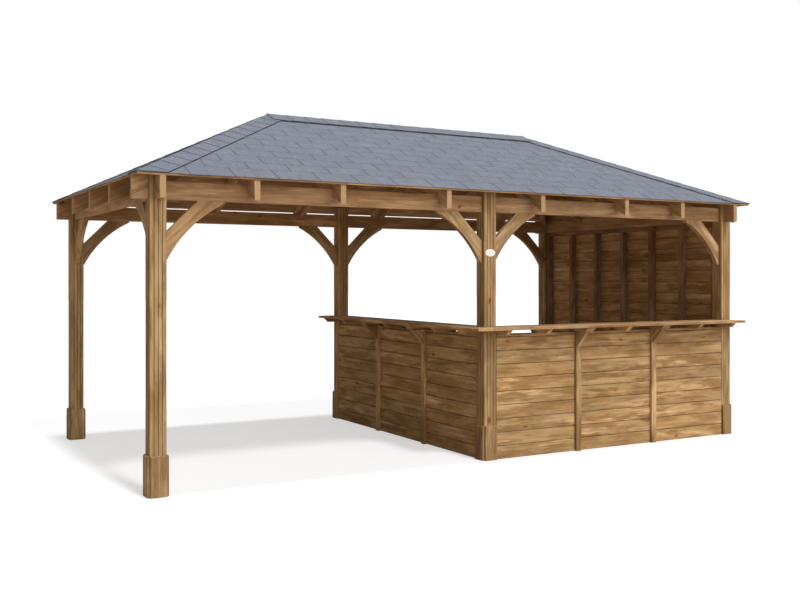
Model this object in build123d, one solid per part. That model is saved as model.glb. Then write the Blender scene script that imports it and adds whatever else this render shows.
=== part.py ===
from build123d import *
from math import cos, radians, sqrt, tan
import os

# Timber garden bar under a hipped roof: six fluted posts carry ring beams, rafters, boards and
# shingles. The left half stands open. The right half is a bar with two low walls and a full end wall.
# Millimetres, X to the right along the front, Y to the rear, Z up. While it is drawn, the origin is
# the centre of the post grid on the ground. export_node moves it to the centre of the whole plan.

# Post grid, over the outer faces of the corner posts
length = 5820
depth = 2930
post = 120
flute_width = 9
flute_depth = 4
flutes = 3

# Boards around the foot of each post
foot_height = 295
foot_board = 18
foot_chamfer = 8

# Ring beams and the braces under them
beam_bottom = 2111
beam_height = 134
beam_width = 45
brace_width = 45
brace_beam_leg = 445
brace_post_leg = 430
brace_corner_gap = 240
brace_nib = 14
brace_bow = 34

# Hipped roof: its boards pass over the posts' outer faces at the heel rise above the beams
roof_pitch = 25.2
heel_rise = 79
roof_overhang = 121
deck_board = 16
shingle = 5
cap_half_width = 167
cap_thickness = 4

# Rafters
rafter_width = 45
rafter_depth = 139
tail_past_post = 110
stub_past_post = 118
hip_extra_depth = 18
ridge_board_height = 150
common_rafter_spaces = 3

# Walls
wall_board_height = 119
low_wall_board_count = 9
cladding = 18
stud = 45
rail = 45
end_wall_stud_depth = 70
end_wall_stud_count = 7
wall_panels = 3
panel_gap = 2
batten_width = 58
batten_proud = 27
front_batten_shift = 22
cross_batten_shift = 42

# Bar top and what carries it
bar_board = 24
bar_overhang = 190
bar_boards = 2
bar_board_gap = 3
joist_width = 45
joist_depth = 40
panel_joist_count = 3
joist_setback = 10
bracket_drop = 135
bracket_reach = 130

# Small blank disc on the front middle post
disc_radius_across = 50
disc_radius_up = 32
disc_thickness = 3
disc_height = 1765

# Derived places, in the post grid's own frame
slope = tan(radians(roof_pitch))
half_length = length / 2
half_depth = depth / 2
ridge_half = half_length - half_depth
beam_top = beam_bottom + beam_height
post_top = beam_top + heel_rise
beam_inset = (post - beam_width) / 2
skin_plumb = (deck_board + shingle) / cos(radians(roof_pitch))
deck_plumb = deck_board / cos(radians(roof_pitch))
shingle_plumb = shingle / cos(radians(roof_pitch))
cap_plumb = cap_thickness / cos(radians(roof_pitch))
rafter_plumb = rafter_depth / cos(radians(roof_pitch))
hip_plumb = rafter_plumb + hip_extra_depth
eave_height = post_top - slope * roof_overhang + skin_plumb
cap_run = cap_half_width * cos(radians(roof_pitch))
cap_eave = cap_half_width * sqrt(1 + cos(radians(roof_pitch)) ** 2)
wall_top = wall_board_height * low_wall_board_count
bar_underside = wall_top + joist_depth
bar_height = bar_underside + bar_board
middle_x = -post / 2
plan_shift = (bar_overhang - roof_overhang) / 2


def prism(points, direction):
    """A solid from a flat outline carried along a direction."""
    outline = Face(Wire.make_polygon([Vector(*p) for p in points], close=True))
    return Solid.extrude(outline, Vector(*direction))


def block(low, high):
    """A box between two opposite corners."""
    (x0, y0, z0), (x1, y1, z1) = low, high
    return prism([(x0, y0, z0), (x1, y0, z0), (x1, y1, z0), (x0, y1, z0)], (0, 0, z1 - z0))


def evenly(low, high, count):
    """Centres of pieces from one end to the other, first and last included."""
    return [low + (high - low) * i / (count - 1) for i in range(count)]


def deck_under(inward):
    """Height of the roof boards' underside, at a level distance inward of the posts' outer faces."""
    return post_top + slope * inward


def front_to_rear(shapes):
    return [mirror(s, Plane.XZ) for s in shapes]


def left_to_right(shapes):
    return [mirror(s, Plane.YZ) for s in shapes]


def export_node(name, shapes):
    """Writes one node, with the origin at the centre of the whole plan."""
    solids = [s for shape in shapes for s in shape.solids()]
    moved = [Pos(0, plan_shift, 0) * s for s in solids]
    export_step(Compound(moved) if len(moved) > 1 else moved[0], f"parts/{name}.step")


# Posts

def flute_places():
    """Distances from a post's corner to each groove's centre."""
    return [post * (i + 1) / (flutes + 1) for i in range(flutes)]


def fluted_outline(x0, y0):
    """Outline of one post, with V grooves on all four faces."""
    half = flute_width / 2
    side = [(0, 0)]
    for place in flute_places():
        side += [(place - half, 0), (place, flute_depth), (place + half, 0)]
    points = []
    for quarter in range(4):
        for u, v in side:
            for _ in range(quarter):
                u, v = post - v, u
            points.append((x0 + u, y0 + v, 0))
    return points


def post_at(x0, y0):
    return prism(fluted_outline(x0, y0), (0, 0, post_top))


post_left = -half_length
post_right = half_length - post
post_front = -half_depth
post_rear = half_depth - post
post_corners = {
    "front_left": (post_left, post_front),
    "front_middle": (middle_x, post_front),
    "front_right": (post_right, post_front),
    "rear_left": (post_left, post_rear),
    "rear_middle": (middle_x, post_rear),
    "rear_right": (post_right, post_rear),
}


def foot_board_on(x0, y0, across, outward):
    """One board on a post's face: across and outward are unit directions in plan."""
    ax, ay = across
    ox, oy = outward
    slope_top = foot_height - foot_chamfer
    profile = [(0, 0), (foot_board, 0), (foot_board, slope_top), (foot_board - foot_chamfer, foot_height),
               (0, foot_height)]
    outline = [(x0 + ox * out, y0 + oy * out, up) for out, up in profile]
    return prism(outline, (ax * post, ay * post, 0))


def foot_boards(x0, y0, sides):
    """Boards around a post's foot, on the named sides."""
    places = {
        "front": (x0, y0, (1, 0), (0, -1)),
        "rear": (x0, y0 + post, (1, 0), (0, 1)),
        "left": (x0, y0, (0, 1), (-1, 0)),
        "right": (x0 + post, y0, (0, 1), (1, 0)),
    }
    return [foot_board_on(*places[side]) for side in sides]


# Boards are left off where a wall meets the post
foot_sides = {
    "front_left": ("front", "rear", "left", "right"),
    "front_middle": ("front", "left"),
    "front_right": ("front", "right"),
    "rear_left": ("front", "rear", "left", "right"),
    "rear_middle": ("rear", "left", "right"),
    "rear_right": ("rear", "left", "right"),
}


# Ring beams

def beam_along_front(x0, x1):
    y0 = post_front + beam_inset
    return block((x0, y0, beam_bottom), (x1, y0 + beam_width, beam_top))


def beam_along_left():
    x0 = post_left + beam_inset
    return block((x0, post_front + post, beam_bottom), (x0 + beam_width, post_rear, beam_top))


front_beams = [beam_along_front(post_left + post, middle_x), beam_along_front(middle_x + post, post_right)]


# Braces

def brace_outline():
    """Outline in the corner of a post and a beam: u along the beam, v down the post."""
    beam_end = (brace_beam_leg, 0)
    beam_nib = (brace_beam_leg, brace_nib)
    post_nib = (brace_nib, brace_post_leg)
    post_end = (0, brace_post_leg)
    middle = ((beam_nib[0] + post_nib[0]) / 2, (beam_nib[1] + post_nib[1]) / 2)
    bowed = (middle[0] - brace_bow, middle[1] - brace_bow)
    return beam_end, beam_nib, bowed, post_nib, post_end


def brace(corner, along, side):
    """A brace from its corner point: along is the beam's direction, side the thickness direction."""
    cx, cy, cz = corner

    def place(u, v):
        return Vector(cx + along[0] * u, cy + along[1] * u, cz - v)

    beam_end, beam_nib, bowed, post_nib, post_end = [place(*p) for p in brace_outline()]
    upper_beam = place(brace_corner_gap, 0)
    upper_post = place(0, brace_corner_gap)
    edges = [
        Line(upper_beam, beam_end),
        Line(beam_end, beam_nib),
        ThreePointArc(beam_nib, bowed, post_nib),
        Line(post_nib, post_end),
        Line(post_end, upper_post),
        Line(upper_post, upper_beam),
    ]
    return Solid.extrude(Face(Wire(edges)), Vector(*side) * brace_width)


brace_inset = (post - brace_width) / 2


def front_brace(post_x, toward):
    """A brace under the front beam, from a post's face toward +X or -X."""
    x = post_x + post if toward > 0 else post_x
    return brace((x, post_front + brace_inset, beam_bottom), (toward, 0), (0, 1, 0))


def left_brace(post_y, toward):
    y = post_y + post if toward > 0 else post_y
    return brace((post_left + brace_inset, y, beam_bottom), (0, toward), (1, 0, 0))


front_braces = [front_brace(post_left, 1), front_brace(middle_x, -1), front_brace(middle_x, 1),
                front_brace(post_right, -1)]
left_end_braces = [left_brace(post_front, 1), left_brace(post_rear, -1)]


# Roof surfaces

def roof_height(inward_of_edge):
    """Top of the shingles, at a level distance inward of the roof's edge."""
    return eave_height + slope * inward_of_edge


edge_x = half_length + roof_overhang
edge_y = half_depth + roof_overhang
ridge_height = roof_height(edge_y)


def lowered(points, drop):
    return [(x, y, z - drop) for x, y, z in points]


def front_slope():
    corner = roof_height(0)
    return [(-edge_x, -edge_y, corner), (edge_x, -edge_y, corner), (ridge_half, 0, ridge_height),
            (-ridge_half, 0, ridge_height)]


def left_slope():
    corner = roof_height(0)
    return [(-edge_x, edge_y, corner), (-edge_x, -edge_y, corner), (-ridge_half, 0, ridge_height)]


def deck_of(outline):
    return prism(lowered(outline, shingle_plumb), (0, 0, -deck_plumb))


def shingles_of(outline):
    return prism(outline, (0, 0, -shingle_plumb))


def hip_cap_front_left():
    """Folded strip over the front left hip: one leaf on the front slope, one on the left."""
    corner = (-edge_x, -edge_y, roof_height(0))
    ridge_end = (-ridge_half, 0, ridge_height)
    run_meet = edge_y - cap_run
    front_meet = (-ridge_half - cap_run + cap_eave, -cap_run, roof_height(run_meet))
    front_leaf = [corner, (-edge_x + cap_eave, -edge_y, roof_height(0)), front_meet, ridge_end]
    left_meet = (-ridge_half - cap_eave, 0, roof_height(edge_y - cap_eave))
    left_leaf = [corner, ridge_end, left_meet, (-edge_x, -edge_y + cap_eave, roof_height(0))]
    return prism(front_leaf, (0, 0, cap_plumb)) + prism(left_leaf, (0, 0, cap_plumb))


def ridge_cap():
    """Folded strip over the ridge, mitred to the hip caps at both ends."""
    run_meet = edge_y - cap_run
    end_x = ridge_half + cap_run - cap_eave
    halves = []
    for side in (-1, 1):
        lower = roof_height(run_meet)
        leaf = [(-end_x, side * cap_run, lower), (end_x, side * cap_run, lower),
                (ridge_half, 0, ridge_height), (-ridge_half, 0, ridge_height)]
        halves.append(prism(leaf, (0, 0, cap_plumb)))
    return halves[0] + halves[1]


# Rafters

def rafter_profile(start, end):
    """Side outline of a rafter between two level distances inward of the posts' outer faces."""
    return [(start, deck_under(start) - rafter_plumb), (end, deck_under(end) - rafter_plumb),
            (end, deck_under(end)), (start, deck_under(start))]


def seat_cut(profile_solid, low, high):
    """Notches a rafter over the beam, whose box is given."""
    return profile_solid - block(low, high)


def front_rafter(x, start, end):
    outline = [(x - rafter_width / 2, -half_depth + u, z) for u, z in rafter_profile(start, end)]
    body = prism(outline, (rafter_width, 0, 0))
    y0 = post_front + beam_inset
    return seat_cut(body, (x - rafter_width, y0, beam_bottom), (x + rafter_width, y0 + beam_width, beam_top))


def left_rafter(y, start, end):
    outline = [(-half_length + u, y - rafter_width / 2, z) for u, z in rafter_profile(start, end)]
    body = prism(outline, (0, rafter_width, 0))
    x0 = post_left + beam_inset
    return seat_cut(body, (x0, y - rafter_width, beam_bottom), (x0 + beam_width, y + rafter_width, beam_top))


def hip_front_left():
    """Hip rafter from the corner post's inner corner to the ridge end, its top bevelled to both slopes."""
    half = rafter_width / 2 * sqrt(2)
    end = half_depth - rafter_width / 2
    x0, y0 = -half_length, -half_depth
    strip = prism([(x0, y0 + half, 0), (x0, y0, 0), (x0 + half, y0, 0), (x0 + end, y0 + end - half, 0),
                   (x0 + end, y0 + end, 0), (x0 + end - half, y0 + end, 0)], (0, 0, ridge_height))
    left_under = [(0, 0, deck_under(0)), (end, 0, deck_under(end)), (end, 0, deck_under(end) - hip_plumb),
                  (0, 0, deck_under(0) - hip_plumb)]
    left_layer = prism([(-half_length + u, -half_depth, z) for u, _, z in left_under], (0, end, 0))
    front_layer = prism([(-half_length, -half_depth + u, z) for u, _, z in left_under], (end, 0, 0))
    hip = strip & left_layer & front_layer
    corner_post = block((post_left, post_front, 0), (post_left + post, post_front + post, ridge_height))
    return max((hip - corner_post).solids(), key=lambda s: s.volume)


hip_front = hip_front_left()
common_end = half_depth - rafter_width / 2
common_xs = evenly(-ridge_half, ridge_half, common_rafter_spaces + 1)
jack_place = half_length - post / 2 - (half_length - post / 2 - ridge_half) / 2
jack_inward = half_length - jack_place
post_centre = post / 2


def outer_piece(rafter, hip):
    """The part of a jack rafter on its own side of the hip."""
    return max((rafter - hip).solids(), key=lambda s: s.volume)


def front_jack():
    """Jack rafter on the front slope, cut to the hip rafter's side."""
    return outer_piece(front_rafter(-jack_place, -tail_past_post, jack_inward), hip_front)


def left_jack():
    y = -half_depth + jack_inward
    return outer_piece(left_rafter(y, -tail_past_post, jack_inward), hip_front)


def stub_profile():
    """Side outline of a corner post's stub: level below, flush with the beams, and cut to the roof above."""
    return [(-stub_past_post, beam_bottom), (0, beam_bottom), (0, deck_under(0)),
            (-stub_past_post, deck_under(-stub_past_post))]


def front_stub():
    x = -half_length + post_centre - rafter_width / 2
    return prism([(x, -half_depth + u, z) for u, z in stub_profile()], (rafter_width, 0, 0))


def left_stub():
    y = -half_depth + post_centre - rafter_width / 2
    return prism([(-half_length + u, y, z) for u, z in stub_profile()], (0, rafter_width, 0))


def front_rafters():
    commons = [front_rafter(x, -tail_past_post, common_end) for x in common_xs]
    left_pieces = [front_stub(), front_jack()]
    return commons + left_pieces + left_to_right(left_pieces)


def left_rafters():
    middle = left_rafter(0, -tail_past_post, common_end)
    front_pieces = [left_stub(), left_jack()]
    return [middle] + front_pieces + front_to_rear(front_pieces)


def end_block(low, high):
    """Block on the right end beam between two rafters, its top cut to the roof boards."""
    outer, inner = beam_inset, beam_inset + beam_width
    outline = [(outer, beam_top), (inner, beam_top), (inner, deck_under(inner)), (outer, deck_under(outer))]
    return prism([(half_length - u, low, z) for u, z in outline], (0, high - low, 0))


def end_blocks():
    """Blocks that close the right end between its beam and the roof, from post to post."""
    half = rafter_width / 2
    jack = half_depth - jack_inward
    front = [end_block(-half_depth + post, -jack - half), end_block(-jack + half, -half)]
    return front + front_to_rear(front)


def ridge_board():
    top = deck_under(half_depth - rafter_width / 2)
    half = rafter_width / 2
    return block((-ridge_half - half, -half, top - ridge_board_height), (ridge_half + half, half, top))


# Walls

front_wall_x0 = middle_x + post
front_wall_x1 = post_right
cross_wall_y0 = post_front + post
cross_wall_y1 = post_rear
end_wall_height = beam_bottom


def front_wall():
    return block((front_wall_x0, post_front, 0), (front_wall_x1, post_front + cladding, wall_top))


def cross_wall():
    return block((middle_x, cross_wall_y0, 0), (middle_x + cladding, cross_wall_y1, wall_top))


def end_wall():
    return block((half_length - cladding, cross_wall_y0, 0), (half_length, cross_wall_y1, end_wall_height))


def panel_joints(start, end):
    """Where the wall's equal panels meet."""
    return evenly(start, end, wall_panels + 1)[1:-1]


def joist_places(start, end):
    """Centres of the joists over a low wall: each panel has one at both ends and the rest between."""
    edges = [start, *panel_joints(start, end), end]
    inset = (joist_width + panel_gap) / 2
    spans = [(low + inset, high - inset) for low, high in zip(edges, edges[1:])]
    return [c for low, high in spans for c in evenly(low, high, panel_joist_count)]


def frame_members(start, end, top, centres):
    """Studs and rails of a wall frame, as boxes along the wall: (from, to, bottom, top)."""
    boxes = [(start, end, 0, rail), (start, end, top - rail, top)]
    return boxes + [(c - stud / 2, c + stud / 2, rail, top - rail) for c in centres]


def low_wall_members(start, end):
    """A low wall's frame, with a stud under each joist."""
    return frame_members(start, end, wall_top, joist_places(start, end))


def end_wall_members():
    centres = evenly(cross_wall_y0 + stud / 2, cross_wall_y1 - stud / 2, end_wall_stud_count)
    return frame_members(cross_wall_y0, cross_wall_y1, end_wall_height, centres)


def on_front_wall(member):
    """A frame member of the front wall, against the back of its boards."""
    low, high, bottom, top = member
    y0 = post_front + cladding
    return block((low, y0, bottom), (high, y0 + stud, top))


def on_cross_wall(member):
    low, high, bottom, top = member
    x0 = middle_x + cladding
    return block((x0, low, bottom), (x0 + stud, high, top))


def on_end_wall(member):
    low, high, bottom, top = member
    x1 = half_length - cladding
    return block((x1 - end_wall_stud_depth, low, bottom), (x1, high, top))


def wall_frames():
    """Rails and studs of the three walls, as two lists of solids."""
    walls = [
        (on_front_wall, low_wall_members(front_wall_x0, front_wall_x1)),
        (on_cross_wall, low_wall_members(cross_wall_y0, cross_wall_y1)),
        (on_end_wall, end_wall_members()),
    ]
    rails = [place(m) for place, members in walls for m in members[:2]]
    studs = [place(m) for place, members in walls for m in members[2:]]
    return rails, studs


# Bar tops, joists, battens and brackets

front_joist_xs = joist_places(front_wall_x0, front_wall_x1)
cross_joist_ys = joist_places(cross_wall_y0, cross_wall_y1)
front_batten_xs = [x - front_batten_shift for x in panel_joints(front_wall_x0, front_wall_x1)]
cross_batten_ys = [y - cross_batten_shift for y in panel_joints(cross_wall_y0, cross_wall_y1)]
bar_board_width = (bar_overhang + post - bar_board_gap * (bar_boards - 1)) / bar_boards
joist_tip = bar_overhang - joist_setback


def joist_outline():
    """Side outline of a joist: u runs outward from the posts' outer faces, with ends cut at 45 degrees."""
    inner = -(post - joist_setback)
    return [(joist_tip, bar_underside), (joist_tip - joist_depth, wall_top), (inner + joist_depth, wall_top),
            (inner, bar_underside)]


def bracket_outline():
    """Side outline of the bracket between a batten's face and the joists over it."""
    return [(batten_proud, wall_top), (batten_proud + bracket_reach, wall_top),
            (batten_proud, wall_top - bracket_drop)]


def across_front(outline, x, width):
    points = [(x - width / 2, post_front - u, z) for u, z in outline]
    return prism(points, (width, 0, 0))


def across_cross(outline, y, width):
    points = [(middle_x - u, y - width / 2, z) for u, z in outline]
    return prism(points, (0, width, 0))


def batten_outline():
    """Side outline of the upright batten at a panel joint, against the wall boards."""
    return [(0, 0), (batten_proud, 0), (batten_proud, wall_top), (0, wall_top)]


def front_row(outline, width, centres):
    return [across_front(outline, x, width) for x in centres]


def cross_row(outline, width, centres):
    return [across_cross(outline, y, width) for y in centres]


def post_holes():
    """What the bar tops are cut around: the three posts they pass."""
    names = ("front_middle", "front_right", "rear_middle")
    return [block((*post_corners[n], 0), (post_corners[n][0] + post, post_corners[n][1] + post, post_top))
            for n in names]


def board_bands():
    """Each bar board's outer and inner edge, as distances outward of the posts' outer faces."""
    step = bar_board_width + bar_board_gap
    return [(bar_overhang - i * step, bar_overhang - i * step - bar_board_width) for i in range(bar_boards)]


def cut_round_posts(boards):
    pieces = []
    for board in boards:
        for hole in post_holes():
            board = board - hole
        pieces += board.solids()
    return pieces


def front_bar_top():
    """Boards along the front wall. The outer one starts at the cross bar's outer board."""
    cross_outer_edge = middle_x - board_bands()[0][1] + bar_board_gap
    boards = []
    for i, (outer, inner) in enumerate(board_bands()):
        start = cross_outer_edge if i == 0 else middle_x - board_bands()[i][1] + bar_board_gap
        boards.append(block((start, post_front - outer, bar_underside),
                            (half_length, post_front - inner, bar_height)))
    return cut_round_posts(boards)


def cross_bar_top():
    """Boards along the cross wall. The outer one runs to the front corner."""
    boards = []
    for outer, inner in board_bands():
        boards.append(block((middle_x - outer, post_front - outer, bar_underside),
                            (middle_x - inner, half_depth, bar_height)))
    return cut_round_posts(boards)


def blank_disc():
    """Plain oval disc on the front middle post's outer face."""
    face = Plane(origin=(middle_x + post / 2, post_front, disc_height), x_dir=(1, 0, 0), z_dir=(0, -1, 0))
    return extrude(face * Ellipse(disc_radius_across, disc_radius_up), amount=disc_thickness)


def main():
    os.makedirs("parts", exist_ok=True)
    for name, (x0, y0) in post_corners.items():
        export_node(f"post_{name}", [post_at(x0, y0)])
    for row in ("front", "rear"):
        names = [n for n in post_corners if n.startswith(row)]
        boards = [b for n in names for b in foot_boards(*post_corners[n], foot_sides[n])]
        export_node(f"{row}_foot_boards", boards)

    export_node("front_beams", front_beams)
    export_node("rear_beams", front_to_rear(front_beams))
    export_node("left_end_beam", [beam_along_left()])
    export_node("right_end_beam", left_to_right([beam_along_left()]))
    export_node("front_braces", front_braces)
    export_node("rear_braces", front_to_rear(front_braces))
    export_node("left_end_braces", left_end_braces)

    export_node("front_rafters", front_rafters())
    export_node("rear_rafters", front_to_rear(front_rafters()))
    export_node("left_rafters", left_rafters())
    export_node("right_rafters", left_to_right(left_rafters()))
    hips = [hip_front] + left_to_right([hip_front])
    export_node("hip_rafters", hips + front_to_rear(hips))
    export_node("right_end_blocks", end_blocks())
    export_node("ridge_board", [ridge_board()])
    export_node("front_roof_boards", [deck_of(front_slope())])
    export_node("rear_roof_boards", front_to_rear([deck_of(front_slope())]))
    export_node("left_roof_boards", [deck_of(left_slope())])
    export_node("right_roof_boards", left_to_right([deck_of(left_slope())]))
    export_node("front_shingles", [shingles_of(front_slope())])
    export_node("rear_shingles", front_to_rear([shingles_of(front_slope())]))
    export_node("left_shingles", [shingles_of(left_slope())])
    export_node("right_shingles", left_to_right([shingles_of(left_slope())]))
    caps = [hip_cap_front_left()] + left_to_right([hip_cap_front_left()])
    export_node("front_hip_caps", caps)
    export_node("rear_hip_caps", front_to_rear(caps))
    export_node("ridge_cap", [ridge_cap()])

    export_node("front_wall", [front_wall()])
    export_node("cross_wall", [cross_wall()])
    export_node("end_wall", [end_wall()])
    rails, studs = wall_frames()
    export_node("wall_rails", rails)
    export_node("wall_studs", studs)
    battens = front_row(batten_outline(), batten_width, front_batten_xs)
    battens += cross_row(batten_outline(), batten_width, cross_batten_ys)
    export_node("wall_battens", battens)
    export_node("front_bar_top", front_bar_top())
    export_node("cross_bar_top", cross_bar_top())
    export_node("front_bar_joists", front_row(joist_outline(), joist_width, front_joist_xs))
    export_node("cross_bar_joists", cross_row(joist_outline(), joist_width, cross_joist_ys))
    brackets = front_row(bracket_outline(), joist_width, front_batten_xs)
    brackets += cross_row(bracket_outline(), joist_width, cross_batten_ys)
    export_node("bar_brackets", brackets)
    export_node("blank_disc", [blank_disc()])


main()
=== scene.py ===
"""Timber garden bar under a hipped, shingled roof: boards, shingles, finishes and a white stage."""

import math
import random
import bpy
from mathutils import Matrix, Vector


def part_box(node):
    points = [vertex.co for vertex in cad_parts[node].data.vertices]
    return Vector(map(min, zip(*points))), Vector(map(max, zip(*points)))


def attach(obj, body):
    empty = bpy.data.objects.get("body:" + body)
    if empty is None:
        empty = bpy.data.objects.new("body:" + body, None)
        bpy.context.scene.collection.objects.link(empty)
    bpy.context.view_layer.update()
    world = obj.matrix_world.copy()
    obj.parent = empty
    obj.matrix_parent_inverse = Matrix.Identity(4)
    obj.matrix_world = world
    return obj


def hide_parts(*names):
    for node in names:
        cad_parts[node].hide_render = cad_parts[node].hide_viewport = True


bl_info = {
    "name": "Timber Garden Bar",
    "version": (1, 0, 0),
    "blender": (4, 5, 0),
    "location": "3D View > Sidebar > Garden Bar",
    "description": "Boards, shingles and timber finishes of a garden bar, built on its packed frame",
    "category": "Add Mesh",
}

import bmesh
import bpy
from bpy.props import FloatProperty, FloatVectorProperty, PointerProperty
from mathutils import Vector

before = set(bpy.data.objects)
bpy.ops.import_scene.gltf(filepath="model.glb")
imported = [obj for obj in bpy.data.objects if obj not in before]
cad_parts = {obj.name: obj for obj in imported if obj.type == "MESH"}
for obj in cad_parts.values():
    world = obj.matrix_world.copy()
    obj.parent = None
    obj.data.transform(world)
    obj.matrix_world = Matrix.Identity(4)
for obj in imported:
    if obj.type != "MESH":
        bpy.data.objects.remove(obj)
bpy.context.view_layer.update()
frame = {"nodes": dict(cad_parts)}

UP = Vector((0, 0, 1))
PITCH = math.radians(25.2)

# Wall boards: the slots' depth, which is half a board's thickness, and the gaps at panels and posts
SLOT_DEPTH = 0.009
HALF_PANEL_GAP = 0.001
END_GAP = 0.005

# Walls and roof: the least share of a board's height that makes a row of its own at the top
LEAST_ROW = 0.12

SLOPES = ("front", "rear", "left", "right")

# Roof boards: their thickness, half the longest row of one board, and where a longer row is joined
ROOF_BOARD_THICKNESS = 0.016
HALF_ROW_OF_ONE = 1.6
JOINT_REACH = 0.7

# Shingles: the dark felt sheet under the tabs, which is painted shade in the slits, how far both pass the
# eave, and the tabs' heights and laps
SLIT_SHADE_SHEET = 0.0008
SHADE_SHEET_PAST_EAVE = 0.004
TAB_PAST_EAVE = 0.007
TAB_TOP, TAB_TAPER, TAB_THICKNESS, TAB_LEAST_UNDER = 0.0027, 0.0014, 0.002, 0.0009
TAB_LAP = 0.013
TAB_UNEVEN = 0.0015
LOWER_EDGE = 0.004
LEAST_COURSE = 0.02
FIRST_SLIT = -1.1385

# Caps: height of the butt end's top, its fall towards the lapped end, and its rise off the fold
HIP_CAP = (0.0105, 0.0032, 0.0025)
RIDGE_CAP = (0.0165, 0.003, 0.002)
CAP_UNDER = 0.0012
CAP_LAP = 0.02
FIRST_CAP = 0.164
CAP_PAST_CORNER = 0.2
RIDGE_MEETING = 0.004
ON_FOLD = 0.0001

# Timbers: what counts as one point, a flat face, a corner to round, a groove's bottom and a short stub
SAME_POINT = 0.00002
FLAT = 0.01
CORNER = math.radians(50)
GROOVE = math.radians(-40)
SHORT_STUB = 0.25

# Rounding of the lighter timbers, as a share of the posts' and beams' rounding
LIGHT_TIMBER, BATTEN, SMALL_TIMBER = 0.7, 0.8, 0.6

# Grain: how far beside a board its tree's heart lies, how far along its figure starts, and its rings
HEART_BESIDE = (0.03, 0.14)
FIGURE_START = (-40, 40)
RINGS_A_METRE = 150

# Disc: points round it, and its rings from back to front, as shares of its width and thickness
DISC_STEPS = 72
DISC_RINGS = ((1, 0), (1, 0.55), (0.985, 0.82), (0.955, 0.95), (0.9, 1), (0.5, 1))

# Stage
TOP_SOFTNESS, TOP_HEIGHT = math.radians(6), math.radians(88)
WARM_WHITE = (1, 0.985, 0.96)
ROOM_SHADE = (1, 0.9, 0.83, 1)
FLOOR_REACH = 60
FLOOR_TO_LIGHT = (0.44, 0.36, 0.285, 1)
FLOOR_TO_CAMERA = (0.51, 0.53, 0.55, 1)
FLOOR_GLOW = 0.54
CAMERA_SHIFT = (0.00963, -0.02789)


# Sizes, colours and light that a user would change


def length_setting(name, description, default):
    return FloatProperty(name=name, description=description, default=default, min=0, unit="LENGTH")


def colour_setting(name, description, default):
    return FloatVectorProperty(name=name, description=description, default=default, min=0, max=1,
                               subtype="COLOR")


class GardenBarSizes(bpy.types.PropertyGroup):
    """Sizes of the boards, shingles and rounded edges"""

    timber_rounding: length_setting("Timber rounding", "Rounding on the edges of posts, beams and rails",
                                    0.0028)
    wall_board: length_setting("Wall board", "Height of one wall board", 0.1165)
    first_board: length_setting("First wall board", "Height of each wall's lowest board", 0.112)
    wall_groove: length_setting("Wall groove", "Chamfer on a wall board's edges", 0.0025)
    wall_seam: length_setting("Wall seam", "Width of the slot between two boards, on a wall's outside", 0.005)
    inner_seam: length_setting("Inner seam", "Width of the slot between two boards, on a wall's inside",
                               0.003)
    roof_board: length_setting("Roof board", "Width of one roof board up the slope", 0.119)
    roof_groove: length_setting("Roof groove", "Chamfer on a roof board's lower edges", 0.003)
    shingle_course: length_setting("Shingle course", "Height of shingle left in sight up the slope", 0.157)
    eave_course: length_setting("Eave course", "Height of the first course, at the eave", 0.185)
    shingle_tab: length_setting("Shingle tab", "Width of one shingle tab", 0.3365)
    shingle_slit: length_setting("Shingle slit", "Width of the slit between two tabs", 0.0095)
    cap_course: length_setting("Cap course", "Length of hip or ridge cap left in sight", 0.17)
    cap_width: length_setting("Cap width", "Width of one leaf of a hip or ridge cap", 0.167)


class GardenBarFinishes(bpy.types.PropertyGroup):
    """Colours of the timbers, the shingles and the disc"""

    post: colour_setting("Posts", "Colour of the posts", (0.34, 0.222, 0.099))
    foot: colour_setting("Foot boards", "Colour of the boards around the posts' feet", (0.305, 0.203, 0.093))
    frame: colour_setting("Frame", "Colour of the beams and rafters", (0.376, 0.243, 0.123))
    # The studs' colour is darker than the frame's as painted shade
    stud: colour_setting("Studs", "Colour of the studs and rails behind the wall boards", (0.26, 0.16, 0.08))
    brace: colour_setting("Braces", "Colour of the braces", (0.362, 0.241, 0.118))
    wall: colour_setting("Walls", "Colour of the low walls' boards and battens", (0.392, 0.258, 0.115))
    # The end wall's colour is lighter than the other walls' as painted light, for its shaded inside
    end_wall: colour_setting("End wall", "Colour of the end wall's boards", (0.5, 0.32, 0.15))
    bar: colour_setting("Bar tops", "Colour of the bar boards", (0.39, 0.252, 0.123))
    roof: colour_setting("Roof boards", "Colour of the boards under the shingles", (0.36, 0.225, 0.11))
    shingle: colour_setting("Shingles", "Colour of the grit on the shingles", (0.138, 0.155, 0.188))
    # Felt edge also colours the dark sheet under the tabs, which is painted shade in the slits
    felt: colour_setting("Felt edge", "Colour of the shingles' cut edges", (0.06, 0.066, 0.08))
    disc: colour_setting("Disc", "Colour of the small blank disc", (0.8, 0.8, 0.78))


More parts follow.
